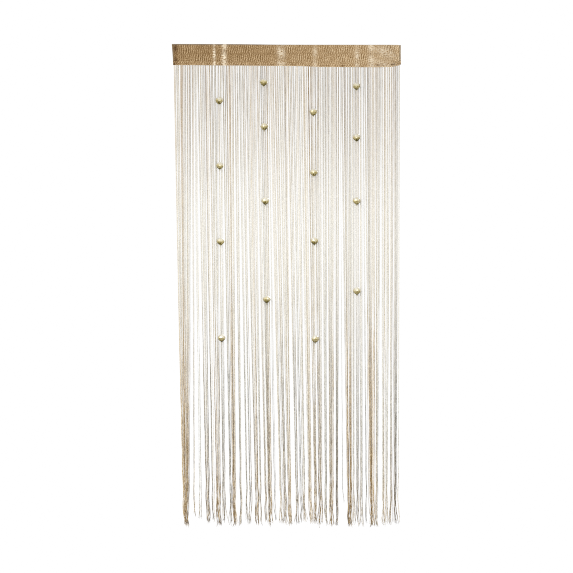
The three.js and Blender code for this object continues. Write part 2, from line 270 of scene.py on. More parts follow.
class Finish:
    """A procedural material, with short calls for the nodes that it needs."""

    def __init__(self, name):
        self.material = bpy.data.materials.new(name)
        self.material.use_nodes = True
        self.tree = self.material.node_tree
        self.shader = self.tree.nodes["Principled BSDF"]

    def node(self, kind, inputs=None, **settings):
        made = self.tree.nodes.new(kind)
        for key, value in settings.items():
            setattr(made, key, value)
        for key, value in (inputs or {}).items():
            self.feed(made.inputs[key], value)
        return made

    def feed(self, socket, value):
        if isinstance(value, bpy.types.NodeSocket):
            self.tree.links.new(value, socket)
        else:
            socket.default_value = value

    def attribute(self, label):
        return self.node("ShaderNodeAttribute", attribute_name=label).outputs["Fac"]

    def thread_map(self):
        return self.node("ShaderNodeUVMap", uv_map="Thread").outputs["UV"]

    def place(self):
        return self.node("ShaderNodeTexCoord").outputs["Object"]

    def math(self, operation, first, second=0.0, third=0.0, clamp=False):
        made = self.node("ShaderNodeMath", operation=operation, use_clamp=clamp)
        for socket, value in zip(made.inputs, (first, second, third)):
            self.feed(socket, value)
        return made.outputs[0]

    def stretched(self, vector, scale, shift=(0, 0, 0)):
        made = self.node("ShaderNodeMapping", {"Vector": vector, "Scale": scale, "Location": shift})
        return made.outputs["Vector"]

    def noise(self, vector, scale, detail=2.0, roughness=0.5):
        made = self.node("ShaderNodeTexNoise",
                         {"Vector": vector, "Scale": scale, "Detail": detail, "Roughness": roughness})
        return made.outputs["Fac"]

    def eased(self, value, low, high, first=0.0, second=1.0):
        made = self.node("ShaderNodeMapRange", interpolation_type="SMOOTHSTEP")
        for key, entry in zip(("Value", "From Min", "From Max", "To Min", "To Max"),
                              (value, low, high, first, second)):
            self.feed(made.inputs[key], entry)
        return made.outputs["Result"]

    def ramp(self, value, stops):
        made = self.node("ShaderNodeValToRGB", {"Fac": value})
        elements = made.color_ramp.elements
        while len(elements) < len(stops):
            elements.new(0.5)
        for element, (position, colour) in zip(elements, stops):
            element.position = position
            element.color = (*colour, 1)
        return made.outputs["Color"]

    def mixed(self, share, first, second, blend="MIX"):
        made = self.node("ShaderNodeMix", data_type="RGBA", blend_type=blend)
        for index, value in ((0, share), (6, first), (7, second)):
            entry = (*value, 1) if isinstance(value, tuple) else value
            self.feed(made.inputs[index], entry)
        return made.outputs[2]

    def bump(self, height, strength, distance):
        inputs = {"Height": height, "Strength": strength, "Distance": distance}
        return self.node("ShaderNodeBump", inputs).outputs["Normal"]

    def surface(self, colour, roughness, normal=None, **numbers):
        """Feeds the shader. Numbers that are the same everywhere go straight to its own sockets."""
        self.feed(self.shader.inputs["Base Color"], colour)
        self.feed(self.shader.inputs["Roughness"], roughness)
        if normal is not None:
            self.feed(self.shader.inputs["Normal"], normal)
        for key, value in numbers.items():
            self.feed(self.shader.inputs[key.replace("_", " ")], value)
        return self.material


def egg_crate(finish, cloth, across, down):
    """Stitch relief, -1 to 1: the product of a sine across the cloth and one down it, which stands up
    in every other cell as knitted loops do."""
    axes = finish.node("ShaderNodeSeparateXYZ", {0: cloth})
    first = finish.math("SINE", finish.math("MULTIPLY", axes.outputs["X"], TURN / across))
    second = finish.math("SINE", finish.math("MULTIPLY", axes.outputs["Y"], TURN / down))
    return finish.math("MULTIPLY", first, second)


def heading_finish():
    """Ribbed weave: dark valleys and pale crests from the rib attribute, in part painted shade and light
    on the ribs, broken up by thread speckle, with painted sheen in cream dashes along the streaks where
    the folds catch the light, and a browner strip at the left end."""
    finish = Finish("heading_weave")
    cloth = finish.thread_map()
    rib = finish.attribute("rib")
    gleam = finish.attribute("gleam")
    shade = finish.attribute("shade")
    speckle = finish.noise(cloth, 265, 2.0, 0.6)
    patches = finish.noise(cloth, 45, 2.0)
    stitch = egg_crate(finish, cloth, 0.0031, 0.0024)
    # The rib value lightens the crests and darkens the valleys: in part painted light and shade on the
    # ribs.
    tone = finish.math("MULTIPLY_ADD", finish.math("SUBTRACT", speckle, 0.5), 1.5, rib)
    tone = finish.math("MULTIPLY_ADD", stitch, 0.16, tone)
    tone = finish.math("MULTIPLY_ADD", finish.math("SUBTRACT", patches, 0.5), 0.35, tone)
    tone = finish.math("ADD", tone, shade)
    weave = finish.ramp(tone, [
        (0.0, (0.12, 0.06, 0.012)),
        (0.3, (0.25, 0.142, 0.05)),
        (0.52, (0.385, 0.25, 0.12)),
        (0.75, (0.57, 0.405, 0.228)),
        (1.0, (0.83, 0.67, 0.45)),
    ])
    # Painted sheen: cream dashes along the fold streaks, where the folds catch the light.
    dashes = finish.noise(finish.stretched(cloth, (0.35, 1.5, 1), (3.1, 0.7, 0)), 220, 1.0)
    dashes = finish.eased(dashes, 0.36, 0.56)
    painted_sheen_share = finish.math("MULTIPLY", gleam, dashes, clamp=True)
    colour = finish.mixed(painted_sheen_share, weave, (0.93, 0.81, 0.62))
    colour = finish.mixed(finish.attribute("browner"), colour, (0.42, 0.34, 0.24), "MULTIPLY")
    greyed = finish.attribute("greyed")
    colour = finish.mixed(greyed, colour, (0.36, 0.31, 0.24))
    thread = finish.node("ShaderNodeTexWave",
                         {"Vector": cloth, "Scale": 340, "Distortion": 1.5, "Detail": 1.0,
                          "Detail Scale": 2.0},
                         wave_type="BANDS", bands_direction="Y").outputs["Fac"]
    relief = finish.math("MULTIPLY_ADD", thread, 0.35, speckle)
    relief = finish.math("MULTIPLY_ADD", stitch, 0.5, relief)
    normal = finish.bump(relief, 0.6, 0.0008)
    return finish.surface(colour, 0.72, normal, Sheen_Weight=0.15, Sheen_Roughness=0.4,
                          Specular_IOR_Level=0.3)


def string_finish():
    """Twisted yarn with a metallic thread: a tone for each string, speckle along it that is in part
    painted shade, a slanting twist in relief, small metallic specks whose cream colour is a painted
    glint, and a painted highlight where the pale attribute is high."""
    finish = Finish("string_yarn")
    along = finish.thread_map()
    tone = finish.attribute("tone")
    strand = finish.attribute("strand")
    offset = finish.node("ShaderNodeCombineXYZ",
                         {"X": strand, "Y": finish.math("MULTIPLY", strand, 7.3)})
    shifted = finish.node("ShaderNodeVectorMath",
                          {0: along, 1: offset.outputs["Vector"]}, operation="ADD").outputs["Vector"]
    blotches = finish.noise(finish.stretched(shifted, (0.012, 0.6, 1)), 150, 2.0, 0.6)
    twist = finish.node("ShaderNodeTexWave", {"Vector": finish.stretched(along, (0.0042, 1, 1)),
                                              "Scale": 150},
                        wave_type="BANDS", bands_direction="DIAGONAL").outputs["Fac"]
    blotches = finish.math("SUBTRACT", blotches, 0.5)
    value = finish.math("MULTIPLY_ADD", blotches, finish.attribute("speckle"), tone)
    value = finish.math("MULTIPLY_ADD", finish.math("SUBTRACT", twist, 0.5), 0.25, value)
    grey = finish.ramp(value, [
        (0.0, (0.09, 0.084, 0.072)),
        (0.3, (0.24, 0.229, 0.197)),
        (0.55, (0.45, 0.436, 0.385)),
        (0.8, (0.70, 0.685, 0.625)),
        (1.0, (0.90, 0.885, 0.83)),
    ])
    brown = finish.ramp(value, [
        (0.0, (0.085, 0.048, 0.016)),
        (0.3, (0.25, 0.155, 0.064)),
        (0.55, (0.47, 0.325, 0.15)),
        (0.8, (0.70, 0.55, 0.315)),
        (1.0, (0.90, 0.77, 0.57)),
    ])
    yarn = finish.mixed(finish.attribute("warm"), grey, brown)
    # Painted highlight: whiter yarn where the pale attribute marks the strings catching the light.
    yarn = finish.mixed(finish.attribute("pale"), yarn, (0.882, 0.864, 0.785))
    specks = finish.node("ShaderNodeTexVoronoi",
                         {"Vector": finish.stretched(shifted, (0.6, 1, 1), (1.7, 0.3, 0)),
                          "Scale": 420}).outputs["Distance"]
    # Painted glint: the specks are metallic and smoother, and their colour is painted a bright cream.
    metal_specks_and_glint = finish.eased(specks, 0.16, 0.26, 0.35, 0.0)
    colour = finish.mixed(metal_specks_and_glint, yarn, (0.95, 0.86, 0.66))
    normal = finish.bump(twist, 0.7, 0.0005)
    roughness = finish.eased(specks, 0.16, 0.26, 0.3, 0.75)
    return finish.surface(colour, roughness, normal, Metallic=finish.math("MULTIPLY", metal_specks_and_glint, 0.6),
                          Sheen_Weight=0.1)


def bead_finish():
    """Champagne coated acrylic with painted light and shade: pale above where the light falls, olive
    gold at the girdle and dark at the point below.
    """
    finish = Finish("bead_coat")
    rise = finish.attribute("rise")
    cloud = finish.noise(finish.place(), 90, 2.0)
    value = finish.math("MULTIPLY_ADD", finish.math("SUBTRACT", cloud, 0.5), 0.12, rise)
    # Glint adds each facet's painted reflection.
    value = finish.math("ADD", value, finish.attribute("glint"))
    # Painted light and shade: dark at the point, olive gold at the girdle, pale at the top.
    colour = finish.ramp(value, [
        (0.0, (0.075, 0.06, 0.01)),
        (0.13, (0.17, 0.135, 0.03)),
        (0.29, (0.42, 0.345, 0.13)),
        (0.47, (0.59, 0.505, 0.27)),
        (0.7, (0.65, 0.59, 0.42)),
        (1.0, (0.74, 0.72, 0.65)),
    ])
    return finish.surface(colour, 0.16, None, Metallic=0.3, Coat_Weight=0.6, Coat_Roughness=0.05,
                          Specular_IOR_Level=0.5)


def plain_finish(name, colour, roughness):
    """Thread or knot in one yarn, with a fine grain in colour and relief."""
    finish = Finish(name)
    grain = finish.noise(finish.place(), 900, 2.0)
    light = tuple(min(1, part * 1.6) for part in colour)
    mixed = finish.mixed(finish.eased(grain, 0.35, 0.65), colour, light)
    return finish.surface(mixed, roughness, finish.bump(grain, 0.4, 0.0003), Sheen_Weight=0.1)


# Heading


def rib_pattern(x, z):
    """Upright ribs of the weave, from -1 to 1: a sine across the width whose phase wanders, in two
    tiers with a break between them, stronger in some stretches than in others."""
    tier_break = TIER_BREAK + waves(x, [(2.2, 31, 0), (1.4, 12.7, 1)])
    lower = z < tier_break
    wander = waves(x, [(1.1, 19, z / 26), (0.9, 8.3, 2.1 - z / 30), (0.8, 37, 0.7 + z / 15),
                       (1.4, 14, z / 6.5)])
    phase = TURN * x / RIB_PITCH + wander + np.where(lower, 2.4, 0)
    strength = 0.45 + 0.3 * np.sin(x / 19 + 1.3) * np.cos(x / 43 + np.where(lower, 1.9, 0))
    line = np.exp(-(((z - tier_break) / 2.2) ** 2)) * (0.5 + 0.5 * np.sin(x / 23 + 4))
    return np.sin(phase) * strength * (1 - 0.7 * line) - 0.3 * line


def heading_ring(rows, inner):
    """Depth and share of one closed ring round the sleeve: down the front and up the back, with the
    rows drawn together at the folds, and the folds rounded."""
    step = (np.arange(rows) + 0.5) / rows
    share = 0.4 * step + 0.6 * (0.5 - 0.5 * np.cos(np.pi * step))
    half = pocket_half_depth(share)
    if inner:
        share = TOP_WALL_SHARE + share * (1 - TOP_WALL_SHARE - SEAM_WALL_SHARE)
        half = pocket_half_depth(share) - CLOTH_WALL
    rounding = EDGE_HALF_DEPTH / (HEADING_DROP - SEAM_DROP)
    for from_edge in (share, 1 - share):
        half = half * np.sqrt(1 - (1 - np.clip(from_edge / rounding, 0, 1)) ** 2 * 0.97)
    return np.concatenate([-half, half[::-1]]), np.concatenate([share, share[::-1]])


def heading_layer(columns, rows, inner):
    """Points of the outer or the inner face of the sleeve, as columns of closed rings."""
    x = np.linspace(-HEADING_HALF_WIDTH, HEADING_HALF_WIDTH, columns)[:, None]
    depth, share = (part[None, :] for part in heading_ring(rows, inner))
    fold_share = EDGE_FOLD_SHARE + (1 - EDGE_FOLD_SHARE) * np.sin(np.pi * share)
    x, depth, share = np.broadcast_arrays(x, depth, share)
    return across_band(x, depth, share, band_line(x, 1), band_line(x, 2) + SEAM_DROP, fold_share,
                       SLEEVE_END_SLIP)


def heading_band():
    """The sleeve as one closed shell: outer rings lifted by the ribs along the normal of each ring,
    which is its run turned by a quarter, inner rings, and the two joined at both open ends."""
    columns = 1280
    inner_columns = 96
    rows = 35
    ring = 2 * rows
    outer = heading_layer(columns, rows, False)
    x, z = outer[..., 0], outer[..., 2]
    back = np.broadcast_to(np.arange(ring) >= rows, x.shape)
    ribs = rib_pattern(np.where(back, x * 1.03 + 57, x), z)
    around = np.roll(outer, -1, axis=1) - np.roll(outer, 1, axis=1)
    outward = np.stack([np.zeros_like(x), around[..., 2], -around[..., 1]], axis=-1)
    outward /= np.linalg.norm(outward, axis=-1, keepdims=True)
    outer = outer + outward * (ribs * RIB_LIFT)[..., None]
    inner = heading_layer(inner_columns, rows, True)
    first_inner = columns * ring
    outer_faces = grid_faces(columns, ring, 0, True)
    inner_faces = grid_faces(inner_columns, ring, first_inner, True)[:, ::-1]
    step = np.arange(ring)
    after = (step + 1) % ring
    left = np.stack([first_inner + step, first_inner + after, after, step], axis=-1)
    far_outer = (columns - 1) * ring
    far_inner = first_inner + (inner_columns - 1) * ring
    right = [far_outer + step, far_outer + after, far_inner + after, far_inner + step]
    right = np.stack(right, axis=-1)
    faces = np.concatenate([outer_faces, inner_faces, left, right])
    points = np.concatenate([outer.reshape(-1, 3), inner.reshape(-1, 3)])
    inner_count = inner_columns * ring
    # Painted sheen along the streaks where the band's folds catch the light.
    sheen_streaks = bell_sum(x, PAINTED_SHEEN_STREAKS)
    height = z / HEADING_DROP
    sheen_streaks = sheen_streaks * (0.65 + 0.35 * np.sin(z / 9 + x / 23))
    browner = np.exp(-(((x + 460) / 10) ** 2)) * (0.6 + 0.4 * np.cos((z + 16) / 9))
    shade = -0.095 - 0.12 * browner + 0.18 * smoothstep(x, -330, 390)
    shade = shade - 0.3 * smoothstep(z, -3.5, 0) + 0.06 * smoothstep(-height, 0.45, 0.9)
    # The last term is painted light: the right end lighter where the band curves back into shade.
    shade = shade - 0.03 * smoothstep(x, 360, 410) + 0.11 * smoothstep(x, 446, 462)
    greyed = 0.7 * smoothstep(-x, 467, 471) + 0.1 * smoothstep(x, 468, 473)
    greyed = greyed + 0.35 * smoothstep(z, -4, -1)
    plain = np.zeros(inner_count)
    # Painted light on the inside of the back layer at the right end, which lies in the front layer's
    # shadow.
    painted_light_end = smoothstep(inner[..., 0].ravel(), 460, 468)
    attributes = {
        "rib": np.concatenate([(0.5 + 0.36 * ribs).ravel(), 0.5 + 0.5 * painted_light_end]),
        "gleam": np.concatenate([sheen_streaks.ravel(), plain]),
        "shade": np.concatenate([shade.ravel(), plain - 0.1]),
        "browner": np.concatenate([browner.ravel(), plain]),
        "greyed": np.concatenate([greyed.ravel(), plain + 0.2]),
    }
    flat = np.stack([points[:, 0], points[:, 2] + np.where(points[:, 1] > 0, 200, 0)], axis=-1) * MM
    corner_uv = flat[faces.ravel()]
    piece = make_piece("heading_band", points, faces.tolist(), heading_finish(), True, attributes,
                       corner_uv)
    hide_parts("heading")


# Strings


def lay_out_strings():
    """Root, hem place, lock, row and reach of every string, from left to right. Strings hang in clumps
    of two to five that lean together at their roots; a beaded string has the front row of its lock."""
    count = sum(lock[1] for lock in LOCKS)
    pitch = (LAST_ROOT - FIRST_ROOT) / count
    rows_of = []
    for lock_number, (at, number, spread, reach) in enumerate(LOCKS):
        spacing = spread / (number - 1) if number > 1 else 0
        rows = math.ceil(SAME_ROW_PITCH / spacing) if spacing > 0 else 1
        first = len(rows_of)
        beaded = [string for string in BEADED_STRINGS if first <= string < first + number]
        front_rank = beaded[0] - first if beaded else 1
        clump_start = 0
        clump_size = 3
        for rank in range(number):
            index = first + rank
            if rank == clump_start + clump_size:
                clump_start = rank
                clump_size = 1 + math.ceil(4 * scatter(index, 3))
            clump_end = min(clump_start + clump_size, number)
            towards_clump = (clump_start + clump_end - 1) / 2 - rank
            rows_of.append((
                FIRST_ROOT + (index + 0.5 + CLUMP_PULL * towards_clump
                              + ROOT_SCATTER * (scatter(index, 4) - 0.5)) * pitch,
                at - spread / 2 + rank * spacing,
                at,
                (rank + rows * number - front_rank) % rows - (rows - 1) / 2,
                reach - TIP_RAGGED * scatter(index, 1),
                index in BEADED_STRINGS,
                lock_number,
                number,
                first + clump_start,
            ))
    names = ("root", "hem", "lock_at", "row", "reach", "beaded", "lock", "in_lock", "clump")
    return {name: np.array(column) for name, column in zip(names, zip(*rows_of))}


def depth_past_beads(strings):
    """How far each string stands behind the band so that it passes the nearest row of beads."""
    clearance = BEAD_RADIUS + STRING_RADIUS + ROW_PITCH + BEAD_SIDE_ROOM
    across = [strings["root"] + (strings["hem"] - strings["root"]) * STATIONS[place][1]
              for place in (0, LAST_BEADED_STATION)]
    depth = np.zeros(len(strings["root"]))
    for bead_string in np.flatnonzero(strings["beaded"]):
        upper, lower = (row - row[bead_string] for row in across)
        nearest = np.where(upper * lower <= 0, 0, np.minimum(np.abs(upper), np.abs(lower)))
        past = np.sqrt(np.maximum(clearance**2 - nearest**2, 0)) - BEAD_SET_FORWARD
        depth = np.where(nearest < clearance, np.maximum(depth, past), depth)
    return np.where(strings["beaded"], -BEAD_SET_FORWARD, depth)


def through_stations(at, knots, values):
    """Smooth rows through the stations: a cubic between each two, whose slope at a station is the
    harmonic mean of the slopes beside it, or none where they turn back."""
    widths = np.diff(knots)
    chords = np.diff(values, axis=1) / widths
    product = chords[:, :-1] * chords[:, 1:]
    total = chords[:, :-1] + chords[:, 1:]
    inner = np.where(product > 0, 2 * product / np.where(total == 0, 1, total), 0)
    slopes = np.concatenate([chords[:, :1], inner, chords[:, -1:]], axis=1)
    span = np.clip(np.searchsorted(knots, at, side="right") - 1, 0, len(widths) - 1)
    share = (at - knots[span]) / widths[span]
    ease = share * share * (3 - 2 * share)
    start = share * (1 - share) ** 2 * widths[span]
    end = share * share * (share - 1) * widths[span]
    level = values[:, span] + (values[:, span + 1] - values[:, span]) * ease
    return level + slopes[:, span] * start + slopes[:, span + 1] * end


def sway(along, number, salt, fewest, more):
    """Sine along the drop, its number of turns and its start scattered by a number and a salt."""
    turns = fewest + more * scatter(number, salt)
    return np.sin(TURN * (along * turns + scatter(number, salt + 1)))


def string_paths(strings, stations):
    """Middle line of every string from inside the seam to where its tip frays. It hangs through the
    stations of its solid, and sways a little more towards the hem, each lock as one and each string
    by itself."""
    root = strings["root"]
    count = len(root)
    middle_fold_share = (1 + BACK_FOLD_SHARE) / 2
    root_y = waves(root, BAND_WAVES) - bell_sum(root, BAND_FOLDS) * middle_fold_share * EDGE_FOLD_SHARE
    hem_line = band_line(root, 2)
    free = strings["reach"] + hem_line
    past = depth_past_beads(strings)
    knots = np.array([-ROOT_DEPTH_IN_SEAM / free.mean(), *(along for along, _ in STATIONS), 1.0])
    flare = TIP_FLARE - TIP_DRAWN_IN * smoothstep(strings["in_lock"], 7, 15)
    tip_x = strings["lock_at"] + (strings["hem"] - strings["lock_at"]) * flare
    x_rows = [root]
    y_rows = [root_y]
    for place, (_, gathered) in enumerate(STATIONS):
        beside_beads = place <= LAST_BEADED_STATION
        row = np.where(strings["beaded"] & beside_beads, 0, strings["row"] * ROW_PITCH)
        x_rows.append(root + (strings["hem"] - root) * gathered)
        y_rows.append(row + (past if beside_beads else 0))
    x_rows.append(tip_x)
    y_rows.append(strings["row"] * ROW_PITCH * TIP_FLARE)
    along = np.linspace(knots[0], 1, stations)
    x = through_stations(along, knots, np.stack(x_rows, axis=1))
    y = through_stations(along, knots, np.stack(y_rows, axis=1))
    z = hem_line[:, None] - along[None, :] * free[:, None]
    z = z - TIP_SLACK * smoothstep(along, 0.7, 1.0)[None, :]
    index = np.arange(count)[:, None]
    lock = strings["lock"][:, None]
    same_lock = (lock == strings["lock"][None, :]).astype(float)
    lock_line = same_lock @ x / same_lock.sum(axis=1, keepdims=True)
    cling = 0.06 * smoothstep(along, 0.62, 0.8) * (1 - smoothstep(along, 0.93, 0.995))
    x = x + (lock_line - x) * cling[None, :]
    beaded = strings["beaded"][:, None]
    growth = np.where(beaded, smoothstep(along, 0.62, 1.0), smoothstep(along, 0.25, 1.0))
    near_tip = smoothstep(along, 0.86, 1.0)[None, :]
    x = x + growth * ((0.35 + 1.5 * near_tip) * sway(along, lock, 11, 7, 6)
                      + (0.35 + 1.1 * near_tip) * sway(along, index, 13, 9, 14))
    y = y + growth * 0.8 * sway(along, index, 15, 7, 6)
    stray = np.where(scatter(index, 26) > 0.78, 1.5 + 3.5 * scatter(index, 27), 0)
    stray = stray * np.where(scatter(index, 28) > 0.5, 1, -1) * smoothstep(along, 0.4, 0.75)
    x = x + np.where(beaded, 0, stray)
    flick = (scatter(index, 17) - 0.5) * 11 * smoothstep(along, 0.97, 1.0)
    return np.stack([x + flick, y, z], axis=-1)


def tubes(paths, radius, sides, twist):
    """Closed tubes round many paths at once: at each station a level ring of that many corners, turned
    by the twist. The radius is given for each station, or for each corner."""
    count, stations, _ = paths.shape
    angle = TURN * np.arange(sides)[None, None, :] / sides + twist[..., None]
    radius = np.broadcast_to(np.atleast_3d(radius), (count, stations, sides))
    level = np.zeros_like(angle * radius)
    ring = np.stack([radius * np.cos(angle), radius * np.sin(angle), level], axis=-1)
    points = paths[:, :, None, :] + ring
    one = grid_faces(stations, sides, 0, True)[:, ::-1]
    starts = np.arange(count) * stations * sides
    walls = (starts[:, None, None] + one[None]).reshape(-1, 4)
    first_cap = starts[:, None] + np.arange(sides)
    last_cap = starts[:, None] + stations * sides - 1 - np.arange(sides)
    caps = np.concatenate([first_cap, last_cap])
    steps = np.linalg.norm(np.diff(paths, axis=1), axis=2)
    length = np.concatenate([np.zeros((count, 1)), np.cumsum(steps, axis=1)], axis=1) * MM
    column = np.arange(sides)
    one_u = np.stack([column + 1, column, column, column + 1], axis=-1) / sides
    wall_u = np.broadcast_to(one_u, (count, stations - 1, sides, 4))
    upper, lower = length[:, :-1], length[:, 1:]
    wall_v = np.stack([lower, lower, upper, upper], axis=-1)[:, :, None, :]
    wall_v = np.broadcast_to(wall_v, (count, stations - 1, sides, 4))
    wall_uv = np.stack([wall_u, wall_v], axis=-1).reshape(-1, 2)
    cap_uv = np.zeros((len(caps) * sides, 2))
    return points, walls, caps, np.concatenate([wall_uv, cap_uv])


def string_fringe():
    """All strings, in six pieces of fifty, with their frayed tips in a piece of their own."""
    strings = lay_out_strings()
    twist_step = math.radians(31)
    paths = string_paths(strings, STRING_STATIONS)
    count = len(paths)
    last = int(FRAYED_FROM * (STRING_STATIONS - 1))
    along = np.linspace(0, 1, STRING_STATIONS)[: last + 1]
    shown = paths[:, : last + 1]
    material = string_finish()
    strand = scatter(np.arange(count), 22)
    shades = string_shades(strings, paths, strand)
    slub = 1 + SLUB_SHARE * np.sin(TURN * (along * SLUBS + strand[:, None]))
    start_turn = TURN * strand[:, None] + twist_step * np.arange(last + 1)[None, :]
    made = []
    for first in range(0, count, STRINGS_IN_A_PIECE):
        part = slice(first, first + STRINGS_IN_A_PIECE)
        points, walls, caps, corner_uv = tubes(shown[part], STRING_RADIUS * slub[part], STRING_SIDES,
                                               start_turn[part])
        corners = np.ones((1, 1, STRING_SIDES))
        attributes = {label: values[part, : last + 1, None] * corners
                      for label, values in shades.items()}
        name = f"strings_{first // STRINGS_IN_A_PIECE + 1}"
        made.append(make_piece(name, points, walls.tolist() + caps.tolist(), material, True, attributes,
                               corner_uv))
    made.append(frayed_tips(strings, paths, last, shades, material))
    for piece in made:
        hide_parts("string_fringe")
    return made


def string_shades(strings, paths, strand):
    """Colour of the yarn along every string. Tone is its lightness: lower in the fuller locks as they
    gather, as painted shade where their strings shade each other, and lower still for every fifth
    string or so. Warm is how golden brown it is, from string to string, and more in the fuller locks as
    painted bounce light between their strings. Pale is a painted highlight: a whitish band where the
    strings catch the front light, most at two fifths of the drop."""
    index = np.arange(len(strand))[:, None]
    z = paths[..., 2]
    gathered = smoothstep(-z, 900, 1500)
    near_tip = smoothstep(-z, 1780, 1960)
    full = smoothstep(strings["in_lock"], 7, 15)[:, None]
    browner = bell_sum(strings["root"], BROWNER_STRINGS)[:, None]
    clump = strings["clump"][:, None]
    of_lock = scatter(strings["lock"], 25)[:, None] - 0.5
    # Lower tone in the fuller locks: painted shade where their strings shade each other.
    tone = 0.54 + (0.09 + 0.3 * of_lock * (1 - full) - 0.07 * full) * gathered - 0.1 * near_tip
    unevenness = 0.25 + 0.32 * smoothstep(-z, 500, 1080)
    tone = tone + unevenness * (scatter(index, 21) - 0.5) - 0.1 * browner * (1 - gathered)
    tone = tone + 0.24 * (scatter(clump, 29) - 0.5)
    darker = scatter(index, 34) > 0.8
    tone = tone + np.where(darker, -0.26, 0.05) * (1 - 0.5 * full) * gathered
    warm = 0.5 + 0.25 * (scatter(index, 23) - 0.5) + 0.55 * (scatter(clump, 30) - 0.5)
    # Warmer in the fuller locks: painted bounce light between their strings.
    warm = warm + (0.95 * full - 0.36) * gathered + 0.14 * smoothstep(-z, 1500, 1950)
    warm = warm + browner * (1 - gathered) + 0.25 * near_tip
    # Painted highlight: a whitish band at the height where the strings catch the front light.
    reach = np.where(z > -800, 520, 650)
    pale = 0.66 * np.exp(-(((z + 800) / reach) ** 2)) + 0.2 * (scatter(index, 24) - 0.5) - 0.2 * browner
    # Speckle along the strings, stronger where they gather: painted shade on their shadowed sides and
    # painted dark reflections of the metallic thread.
    speckle = 0.45 + 1.7 * gathered + 0.5 * near_tip
    shades = {"tone": tone, "warm": np.clip(warm, 0, 1), "pale": np.clip(pale, 0, 1), "speckle": speckle,
              "strand": strand[:, None]}
    return {label: np.broadcast_to(values, z.shape) for label, values in shades.items()}


def frayed_tips(strings, paths, last, shades, material):
    """Fine fibres that part from each other where a string ends: each one leaves the string's last
    ring and bends away from its middle line as a square law of the way to its tip."""
    steps = 7
    number = np.arange(len(paths) * FIBRES_OF_A_TIP)
    owner = number // FIBRES_OF_A_TIP
    begin = paths[owner, last]
    tip_z = -strings["reach"][owner] - TIP_SLACK - 2 + 12 * scatter(number, 31)
    way = np.linspace(0, 1, steps)[None, :]
    outwards = TURN * scatter(number, 32)[:, None]
    reach_out = (1.2 + 4.2 * scatter(number, 33) ** 2)[:, None]
    lean = (paths[owner, -1, 0] - begin[:, 0])[:, None]
    x = begin[:, :1] + lean * way + (0.4 + reach_out * way**2) * np.cos(outwards)
    y = begin[:, 1:2] + (0.4 + 0.6 * reach_out * way**2) * np.sin(outwards)
    z = begin[:, 2:3] + 1.5 + (tip_z - begin[:, 2] - 1.5)[:, None] * way
    fibre_paths = np.stack([x, y, z], axis=-1)
    radius = 0.5 * (1 - 0.4 * way)
    points, walls, caps, corner_uv = tubes(fibre_paths, radius, 3, np.zeros(x.shape))
    spread = np.ones(points.shape[:3])
    attributes = {label: values[owner, last][:, None, None] * spread for label, values in shades.items()}
    return make_piece("string_tips", points, walls.tolist() + caps.tolist(), material, True, attributes,
                      corner_uv)


def seam_strip(made_strings):
    """Sewn edge under the sleeve: a thin closed section swept across the band, ridged where each
    string's root is bound in and dimpled by a row of stitches."""
    columns = 1500
    half_ring = 10
    half = CLOTH_WALL
    share = np.concatenate([np.linspace(0, 0.9, half_ring - 2), [0.965, 1.0]])
    thin = np.where(share > 0.9, np.sqrt(np.clip(1 - ((share - 0.9) / 0.1) ** 2, 0, 1)) * 0.75 + 0.25, 1)
    depth = np.concatenate([-half * thin, (half * thin)[::-1]])
    share = np.concatenate([share, share[::-1]])
    x = np.linspace(-HEADING_HALF_WIDTH, HEADING_HALF_WIDTH, columns)[:, None]
    x, depth, share = np.broadcast_arrays(x, depth[None, :], share[None, :])
    top = band_line(x, 2) + SEAM_DROP + TUCK_IN
    points = across_band(x, depth, share, top, band_line(x, 2), EDGE_FOLD_SHARE, 0)
    roots = lay_out_strings()["root"]
    ridge = np.exp(-(((x[:, :1] - roots[None, :]) / 1.1) ** 2)).sum(axis=1)[:, None]
    pattern = seam_pattern(points[..., 0], share, ridge)
    points[..., 1] += np.sign(depth) * SEAM_LIFT * (pattern - 0.4) * smoothstep(share, 0.0, 0.12)
    ring = points.shape[1]
    faces = grid_faces(columns, ring, 0, True).tolist()
    faces.append(list(range(ring)))
    faces.append([(columns - 1) * ring + number for number in range(ring)][::-1])
    flat = np.stack([points[..., 0], points[..., 2] + np.where(depth > 0, 200, 0)], axis=-1)
    flat = flat.reshape(-1, 2) * MM
    corner_uv = flat[np.concatenate([np.asarray(face) for face in faces])]
    broken = smoothstep(waves(x, [(1, 11.3, 0), (0.8, 4.7, 1.9)]), 0.1, 1.0)
    darker = 0.2 + 0.25 * smoothstep(x, 100, 400) + 0.25 * smoothstep(x, 340, 400)
    sewn = np.exp(-(((share - stitch_row(x)) / 0.16) ** 2)) * broken * darker
    shade = 0.06 + 0.055 * smoothstep(x, -60, 150) - 0.08 * smoothstep(x, 330, 400)
    shade = shade - 0.07 * smoothstep(-x, 440, 455) - sewn
    attributes = {
        "rib": 0.31 + 0.42 * pattern,
        # Painted sheen along the same fold streaks.
        "gleam": 0.8 * bell_sum(x, PAINTED_SHEEN_STREAKS),
        "shade": shade * np.ones_like(pattern),
        "browner": 0.35 * smoothstep(-x, 445, 462) * np.ones_like(pattern),
        "greyed": 0.0 * pattern,
    }
    weave = bpy.data.materials["heading_weave"]
    piece = make_piece("seam_strip", points, faces, weave, True, attributes, corner_uv)
    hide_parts("string_fringe")


